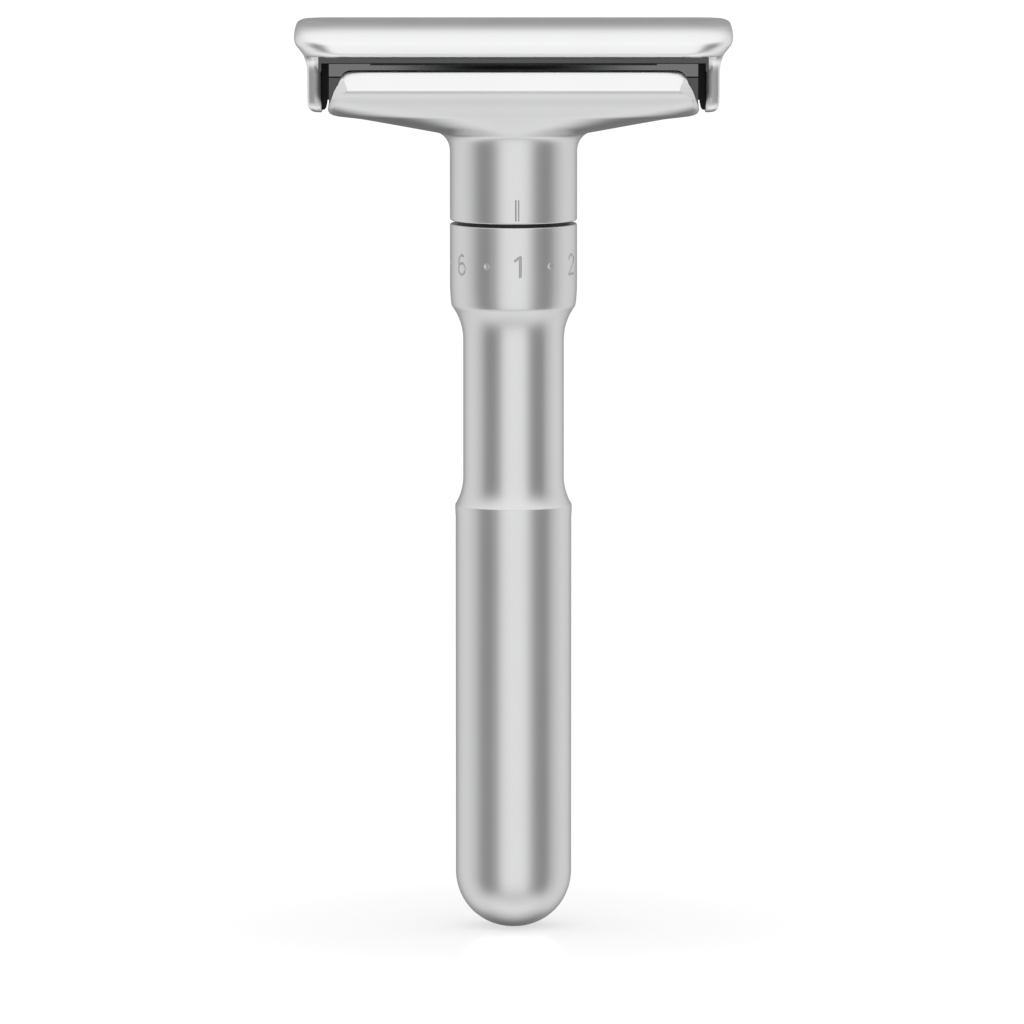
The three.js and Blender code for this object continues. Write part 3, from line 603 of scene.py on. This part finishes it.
def guard_finish(face):
    """Which of the guard's materials a face has: 1 on the bars, in the chrome painted lighter as light; 2 on
    the index mark's sloping sides, painted with shade; 3 inside, in the chrome painted darker as shade.
    """
    x, y, z = [value / MM for value in face.center]
    z -= BASE / MM
    beside_mark = abs(x - INDEX_X) < INDEX_HALF_WIDTH and y < -6
    # The index mark's sloping sides take the painted shade.
    if beside_mark and NECK_LOW + 0.4 < z < NECK_LOW + 3.3 and abs(face.normal.x) > 0.4:
        return 2
    # Faces inside the bars and on the bed's sides take the chrome painted darker as shade.
    bed_side = abs(x) > BED_HALF_LENGTH - 0.01 or abs(abs(y) - BED_HALF_WIDTH) < 0.01
    if z > BED_BOTTOM + 0.01 and bed_side or z > CREASE and abs(y) < BAR_INNER + 0.02:
        return 3
    return 1 if z > CREASE else 0


# The triangular facet at each end of a bar: its point on the crease, and one near its top and its bottom.
FACET_POINTS = [(21.75, 13.3, CREASE), (21.95, 12.5, 113.3), (23.75, 11.95, 109.6)]


def cut_corner(obj, sx, sy):
    """Cuts the facet of one corner and closes the cut."""
    points = [placed(sx * x, sy * y, z) for x, y, z in FACET_POINTS]
    normal = (points[1] - points[0]).cross(points[2] - points[0]).normalized()
    if normal.x * sx < 0:
        normal = -normal
    work = bmesh.new()
    work.from_mesh(obj.data)
    everything = work.verts[:] + work.edges[:] + work.faces[:]
    cut = bmesh.ops.bisect_plane(
        work, geom=everything, plane_co=points[0], plane_no=normal, clear_outer=True, dist=SMALLEST_EDGE
    )
    edges = [item for item in cut["geom_cut"] if isinstance(item, bmesh.types.BMEdge)]
    bmesh.ops.holes_fill(work, edges=edges)
    work.to_mesh(obj.data)
    work.free()


# ---- cap ----

DOME_POWER = 2 / 2.4  # 1 would be a plain ellipse from front to back
CAP_RIM = 115.8  # the cap's lower edge
CAP_BELLY = 116.7  # where it is deepest
RIM_ROUND = 0.75
CROWN_HALF = 0.9  # half the width of the flat crown
CAP_CORNER = 5.2  # radius of its corners seen from above
ARM_INNER = 25.2  # from the middle to an arm's inner face
CLAMP_HALF_WIDTH = 10.3
CLAMP_BOTTOM = 114.0
CLAMP_RADIUS, CLAMP_AXIS = 60.1, 55.85  # of the curved face that clamps the blade
CUTTER_HALF_WIDTH, CUTTER_BOTTOM = 12.2, 106.0

# The cap's ends seen from the front: height, and how far inside its widest point.
CAP_END = [
    (CAP_RIM, 1.3), (116.2, 1.06), (116.8, 0.6), (117.3, 0.2), (117.8, 0.03), (118.4, 0.0), (119.1, 0.07),
    (119.6, 0.25), (120.0, 0.6),
]
# The same at the top, with the height taken from the highest point.
CAP_END_TOP = [(-0.12, 1.0), (0.0, 1.5)]


def cap_outlines(wide, deep, top):
    """The outlines from the rim, round the belly and over the dome to the crown."""
    keys = []
    for i in range(9):
        turn = math.radians(90 * i / 8)
        z = CAP_RIM + (CAP_BELLY - CAP_RIM) * (1 - math.cos(turn))
        keys.append((z, deep - RIM_ROUND * (1 - math.sin(turn))))
    for i in range(1, 49):
        turn = math.radians(90 * i / 48)
        z = CAP_BELLY + (top - CAP_BELLY) * math.sin(turn) ** DOME_POWER
        keys.append((z, max(CROWN_HALF, deep * max(0.0, math.cos(turn)) ** DOME_POWER)))
    heights, insets = zip(*CAP_END, *[(top + drop, inset) for drop, inset in CAP_END_TOP])
    loops = []
    for z, b in keys:
        a = wide - float(np.interp(z, heights, insets))
        loops.append(outline(z, a, b, min(CAP_CORNER, 0.92 * b), steps=20))
    return loops


def cap():
    low, high = span("cap")
    wide, deep, top = high
    body = skin("cap_casting", cap_outlines(wide, deep, top))
    clamp_x, clamp_y = (-ARM_INNER - 0.4, ARM_INNER + 0.4), (-CLAMP_HALF_WIDTH, CLAMP_HALF_WIDTH)
    combine(body, "UNION", block("clamp", clamp_x, clamp_y, (CLAMP_BOTTOM, CAP_RIM + 0.6)))
    combine(body, "DIFFERENCE", camber_cutter())
    for side in (-1, 1):
        combine(body, "UNION", cap_arm(side), cap_tongue(side))
    shaded(body)
    # The cap is satin chrome. It is drawn in the lighter copy as painted light, with painted shade
    # underneath and on the tongues.
    finish_piece(body, chrome_painted_lighter, "cap", "satin_chrome", "cap")
    for material in (chrome_painted_shade, recess_painted_shade):
        body.data.materials.append(material)
    for face in body.data.polygons:
        face.material_index = cap_finish(face)


def cap_finish(face):
    """Which of the cap's materials a face has: 1 underneath, painted darker as shade; 2 on the tongues,
    painted near black as shade.
    """
    x, y, z = [value / MM for value in face.center]
    z -= BASE / MM
    # The tongues' faces take the near black painted shade.
    if TONGUE_SIDE - 0.28 < abs(x) < ARM_INNER + 0.01 and abs(y) < TONGUE_HALF_DEPTH + 0.01 and z < CAP_RIM:
        return 2
    # Faces under the cap take the chrome painted darker as shade.
    under = z < CAP_RIM + 0.01 and abs(x) < ARM_INNER + 0.06 and abs(y) < CLAMP_HALF_WIDTH + 0.01
    return 1 if under else 0


def camber_cutter():
    """The room under the cap's curved clamping face."""
    lean = math.degrees(math.asin(CUTTER_HALF_WIDTH / CLAMP_RADIUS))
    section = arc(0, CLAMP_AXIS, CLAMP_RADIUS, 90 - lean, 90 + lean, 48)
    section += [(-CUTTER_HALF_WIDTH, CUTTER_BOTTOM), (CUTTER_HALF_WIDTH, CUTTER_BOTTOM)]
    return skin("camber", [[(x, y, z) for y, z in section] for x in (-ARM_INNER, ARM_INNER)])


# One quarter of an arm's section, from its front ridge to its side, in half thicknesses.
ARM_QUARTER = [(0.0, 0.0), (0.36, 0.15), (0.72, 0.32), (0.86, 0.42), (0.95, 0.56), (1.0, 0.8)]
ARM_INNER_SLOPE = 0.78  # how much less the ridge falls away on the side of the guard
# An arm from its foot up: height, its outer face, and half its depth.
ARM_LEVELS = [
    (108.25, 25.9, 5.0), (108.3, 26.15, 5.3), (108.4, 26.42, 5.7), (108.6, 26.68, 6.1), (108.85, 26.86, 6.4),
    (109.2, 26.99, 6.65), (109.8, 27.06, 6.85), (110.8, 27.08, 6.95), (113.3, 27.08, 7.1),
    (113.9, 27.1, 7.2), (114.4, 27.14, 7.35), (114.9, 27.22, 7.6), (115.35, 27.36, 8.0),
    (CAP_RIM, 27.52, 8.7), (CAP_RIM + 0.5, 27.65, 9.4),
]


def cap_arm(side):
    """One end arm: an upright bar with a low ridge down its front, that flares into the cap's end."""
    loops = []
    for z, outer, half in ARM_LEVELS:
        thick = (outer - ARM_INNER) / 2
        outward = [(side * dx * thick, dy * thick - half) for dx, dy in ARM_QUARTER]
        inward = [(-side * dx * thick, ARM_INNER_SLOPE * dy * thick - half) for dx, dy in ARM_QUARTER]
        outward += [(dx, -y) for dx, y in reversed(outward)]
        inward += [(dx, -y) for dx, y in reversed(inward)]
        section = outward + inward[-2:0:-1]
        loops.append([(side * (ARM_INNER + thick) + dx, y, z) for dx, y in section])
    return skin("arm", loops)


TONGUE_SIDE, TONGUE_FOOT_SIDE = 24.28, 24.58  # from the middle to its inner face, above and below its step
TONGUE_STEP = (109.75, 109.85)
TONGUE_HALF_DEPTH = 4.0
TONGUE_BOTTOM = 108.5
TONGUE_ROUND = 0.6


def cap_tongue(side):
    """The tongue inside an arm, which closes the gap beside the guard and steps back at its rounded foot. It
    is a dark piece put where the gap's shade is, and carries painted shade.
    """
    edges = []
    for i in range(9):
        turn = math.radians(90 * i / 8)
        z = TONGUE_BOTTOM + TONGUE_ROUND * (1 - math.cos(turn))
        edges.append((TONGUE_FOOT_SIDE + (ARM_INNER - TONGUE_FOOT_SIDE) * 0.8 * (1 - math.sin(turn)), z))
    edges += [(TONGUE_FOOT_SIDE, TONGUE_STEP[0]), (TONGUE_SIDE, TONGUE_STEP[1])]
    edges += [(TONGUE_SIDE, CAP_RIM + 0.4)]
    rings = []
    for edge, z in edges:
        x0, x1 = sorted((side * edge, side * (ARM_INNER + 0.5)))
        y0, y1 = -TONGUE_HALF_DEPTH, TONGUE_HALF_DEPTH
        rings.append([(x0, y0, z), (x1, y0, z), (x1, y1, z), (x0, y1, z)])
    return skin("tongue", rings)


# ---- blade ----

BLADE_THICKNESS = 0.1
BLADE_SHARP = 0.012  # thickness left at the edge
BLADE_RADIUS = 60.0  # that it is bent to between the platform and the cap
GRIND = 0.9  # width of the ground edge
NOTCH_X, NOTCH_Y = 18.8, 7.8
SLOT_HALF_LENGTH, SLOT_HALF_WIDTH = 14.5, 1.0
HOLE_RADIUS = 2.75


def blade_section(half_width, top):
    """The bent strip's section from edge to edge, thinned at the ground edges."""
    flat = half_width - GRIND
    across = np.concatenate([
        np.linspace(-half_width, -flat, 5),
        np.linspace(-flat, flat, 41)[1:-1],
        np.linspace(flat, half_width, 5),
    ])
    ground = np.clip((np.abs(across) - flat) / GRIND, 0, 1)
    thick = (BLADE_THICKNESS - (BLADE_THICKNESS - BLADE_SHARP) * ground) / 2
    middle = top - BLADE_THICKNESS / 2 - BLADE_RADIUS + np.sqrt(BLADE_RADIUS**2 - across**2)
    return list(zip(across, middle + thick)) + list(zip(across, middle - thick))[::-1]


def blade():
    """A standard double-edge blade, bent as it is when clamped, with its notches, holes and slot."""
    low, high = span("double_edge_blade")
    half_length, half_width, top = high
    section = blade_section(half_width, top)
    body = skin("blade_strip", [[(x, y, z) for y, z in section] for x in (-half_length, half_length)])
    tall = (low[2] - 1, top + 1)
    for sx in (-1, 1):
        for sy in (-1, 1):
            x = sorted((sx * NOTCH_X, sx * (half_length + 1)))
            y = sorted((sy * NOTCH_Y, sy * (half_width + 1)))
            combine(body, "DIFFERENCE", block("notch", x, y, tall))
    slot_x, slot_y = (-SLOT_HALF_LENGTH, SLOT_HALF_LENGTH), (-SLOT_HALF_WIDTH, SLOT_HALF_WIDTH)
    combine(body, "DIFFERENCE", block("slot", slot_x, slot_y, tall))
    for x in (-SLOT_HALF_LENGTH, 0.0, SLOT_HALF_LENGTH):
        rings = [outline(z, HOLE_RADIUS, HOLE_RADIUS, HOLE_RADIUS, x=x) for z in tall]
        combine(body, "DIFFERENCE", skin("hole", rings))
    shaded(body)
    finish_piece(body, blade_steel, "blade", "blade_steel", "double_edge_blade")
    body.data.materials.append(ground_edge_painted_shade)
    for face in body.data.polygons:
        # The ground edges take the polished steel darkened as painted shade.
        face.material_index = int(abs(face.center.y) / MM > half_width - GRIND)


# ---- what the CAD shapes right ----

CAD_FINISHES = {
    "drive_nut": turned_brass,
    "spindle_guide": turned_brass,
    "catch_rivet_left": turned_brass,
    "catch_rivet_right": turned_brass,
    "nut_lock_pin": spring_steel,
    "stop_pin": spring_steel,
    "main_spring": spring_steel,
    "spindle": spring_steel,
    "platform_screw": spring_steel,
    "screw_washer": spring_steel,
    "cap_catch_left": spring_steel,
    "cap_catch_right": spring_steel,
    "cap_stud_left": spring_steel,
    "cap_stud_right": spring_steel,
    # The polished bed takes the steel darkened as painted shade.
    "blade_platform": platform_steel_painted_shade,
    "friction_ring": ring_rubber,
    "thrust_washer": washer_polymer,
}


def finish_cad_nodes():
    for name, material in CAD_FINISHES.items():
        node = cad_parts[name]
        node.data.materials.clear()
        node.data.materials.append(material)


# ---- studio ----

FLOOR_RADIUS = 0.35
FLOOR_GLOW = 0.41, 0.53  # of the table, beside the razor and far from it; the lower glow beside the razor is a painted shadow round its foot
FLOOR_GLOW_REACH = 0.012, 0.09  # where one ends and the other begins
FLAG_TURN = 2.5  # degrees round to the right that the whole set of lights is turned
# Brightness round the set, from straight in front (0) to straight behind (1), with a dark flag between.
ROUND_THE_SET = [
    (0.0, 1.0), (0.13, 1.03), (0.215, 0.27), (0.375, 0.24), (0.46, 0.7), (0.6, 0.86), (0.76, 0.74),
    (0.86, 0.34), (1.0, 0.16),
]
# Brightness from the front horizon (0) over the top to the back horizon (1), and the same below.
OVER_THE_SET = [
    (0.0, 0.95), (0.09, 1.03), (0.19, 1.06), (0.5, 1.0), (0.73, 0.95), (0.85, 0.6), (0.93, 0.05),
    (1.0, 0.05),
]
UNDER_THE_SET = [
    (0.0, 0.55), (0.21, 0.38), (0.33, 0.82), (0.46, 1.06), (0.58, 0.66), (0.68, 0.25), (0.76, 0.05),
    (1.0, 0.1),
]
UNDER_THE_SIDES = 0.9
# How far up or down a direction is (1 is straight) where one set of levels gives way to the next.
OVER_FADE = 0.3, 0.75
UNDER_FADE = 0.5, 0.8
SIDE_FADE = 0.3, 0.65
LENS_DROP = 3.86  # degrees below level, where polished faces of the head mirror the lens
LENS_RADII = 0.62, 0.12  # degrees, from its soft edge to its dark middle
LENS_LEVEL = 0.02
BACKDROP_LEVEL = 1.05  # what the camera sees behind the razor


def floor():
    """A round white table that glows, and glows less beside the razor: a painted shadow round its foot."""
    count = 96
    radius = FLOOR_RADIUS / MM
    angles = [2 * math.pi * i / count for i in range(count)]
    points = [placed(radius * math.cos(t), radius * math.sin(t), HANDLE_BOTTOM) for t in angles]
    mesh = bpy.data.meshes.new("floor")
    mesh.from_pydata(points, [], [tuple(range(count))])
    obj = bpy.data.objects.new("floor", mesh)
    bpy.context.scene.collection.objects.link(obj)
    material, nodes, shader = shader_of("floor")
    shader.inputs["Base Color"].default_value = (0.94, 0.94, 0.94, 1)
    shader.inputs["Roughness"].default_value = 0.07
    shader.inputs["Specular IOR Level"].default_value = 0.1
    shader.inputs["Emission Color"].default_value = (1, 1, 1, 1)
    place = nodes.add("ShaderNodeTexCoord").outputs["Object"]
    flat = nodes.add("ShaderNodeMapping", Vector=place, Scale=(1, 1, 0)).outputs["Vector"]
    away = nodes.add("ShaderNodeVectorMath", {"operation": "LENGTH"})
    nodes.feed(away, "0", flat)
    # The glow dips beside the razor, a painted shadow round its foot.
    glow = smooth_step(nodes, away.outputs["Value"], *FLOOR_GLOW_REACH, *FLOOR_GLOW)
    nodes.feed(shader, "Emission Strength", glow)
    mesh.materials.append(material)
    obj.visible_glossy = False


def graded(nodes, value, stops):
    """A grey level that follows stops along a 0 to 1 value. The ramp holds half of each, to stay under 1."""
    ramp = nodes.add("ShaderNodeValToRGB")
    nodes.feed(ramp, "Fac", value)
    ramp.color_ramp.interpolation = "EASE"
    elements = ramp.color_ramp.elements
    while len(elements) < len(stops):
        elements.new(0.5)
    for element, (place, level) in zip(elements, stops):
        element.position = place
        element.color = (level / 2, level / 2, level / 2, 1)
    return maths(nodes, "MULTIPLY", ramp.outputs["Color"], 2.0)


def smooth_step(nodes, value, start, end, low=0.0, high=1.0):
    node = nodes.add("ShaderNodeMapRange", {"interpolation_type": "SMOOTHSTEP"})
    limits = {"From Min": start, "From Max": end, "To Min": low, "To Max": high}
    for key, setting in {"Value": value, **limits}.items():
        nodes.feed(node, key, setting)
    return node.outputs["Result"]


def mixed(nodes, factor, first, second):
    node = nodes.add("ShaderNodeMix", {"data_type": "FLOAT"})
    for key, value in {"0": factor, "2": first, "3": second}.items():
        nodes.feed(node, key, value)
    return node.outputs[0]


def angle_over(nodes, height, front):
    """The angle from the front horizon, over the top or bottom, as a share of a half turn."""
    raised = maths(nodes, "MAXIMUM", height, 0.0)
    return maths(nodes, "DIVIDE", maths(nodes, "ARCTAN2", raised, front), math.pi)


def studio():
    """Soft light all round, a dark flag on each side, a dark upper back and the dark hole of the lens."""
    world = bpy.data.worlds.new("studio")
    bpy.context.scene.world = world
    world.use_nodes = True
    nodes = Nodes(world.node_tree)
    background = world.node_tree.nodes["Background"]
    direction = nodes.add("ShaderNodeTexCoord").outputs["Generated"]
    side, back, up = nodes.add("ShaderNodeSeparateXYZ", Vector=direction).outputs
    front = maths(nodes, "MULTIPLY", back, -1.0)
    below = maths(nodes, "MULTIPLY", up, -1.0)

    azimuth = maths(nodes, "SUBTRACT", maths(nodes, "ARCTAN2", side, front), math.radians(FLAG_TURN))
    around = maths(nodes, "DIVIDE", maths(nodes, "ABSOLUTE", azimuth), math.pi)
    level = graded(nodes, around, ROUND_THE_SET)
    overhead = graded(nodes, angle_over(nodes, up, front), OVER_THE_SET)
    level = mixed(nodes, smooth_step(nodes, up, *OVER_FADE), level, overhead)
    sideways = smooth_step(nodes, maths(nodes, "ABSOLUTE", side), *SIDE_FADE)
    underneath = graded(nodes, angle_over(nodes, below, front), UNDER_THE_SET)
    underneath = mixed(nodes, sideways, underneath, UNDER_THE_SIDES)
    level = mixed(nodes, smooth_step(nodes, below, *UNDER_FADE), level, underneath)

    drop = math.radians(LENS_DROP)
    ahead = maths(nodes, "MULTIPLY", front, math.cos(drop))
    ahead = maths(nodes, "ADD", ahead, maths(nodes, "MULTIPLY", below, math.sin(drop)))
    edge, middle = [math.cos(math.radians(radius)) for radius in LENS_RADII]
    level = mixed(nodes, smooth_step(nodes, ahead, edge, middle), level, LENS_LEVEL)
    seen = nodes.add("ShaderNodeLightPath").outputs["Is Camera Ray"]
    nodes.feed(background, "Color", mixed(nodes, seen, level, BACKDROP_LEVEL))
    background.inputs["Strength"].default_value = 1.0


CAMERA_DISTANCE = 1.66
CAMERA_ELEVATION = 5.9
FIELD = 0.1355  # the width of the view at the razor
TARGET = placed(-0.2, 0, 54.9)
SENSOR_WIDTH = 36


def camera():
    data = bpy.data.cameras.new("camera")
    data.sensor_width = SENSOR_WIDTH
    data.lens = SENSOR_WIDTH * CAMERA_DISTANCE / FIELD
    data.clip_end = 50
    obj = bpy.data.objects.new("camera", data)
    bpy.context.scene.collection.objects.link(obj)
    bpy.context.scene.camera = obj
    tilt = math.radians(CAMERA_ELEVATION)
    away = Vector((0, -math.cos(tilt), math.sin(tilt)))
    obj.location = TARGET + CAMERA_DISTANCE * away
    obj.rotation_euler = (-away).to_track_quat("-Z", "Y").to_euler()


camera()
studio()
floor()
handle()
guard()
cap()
blade()
finish_cad_nodes()
bpy.context.scene.view_settings.view_transform = "Standard"
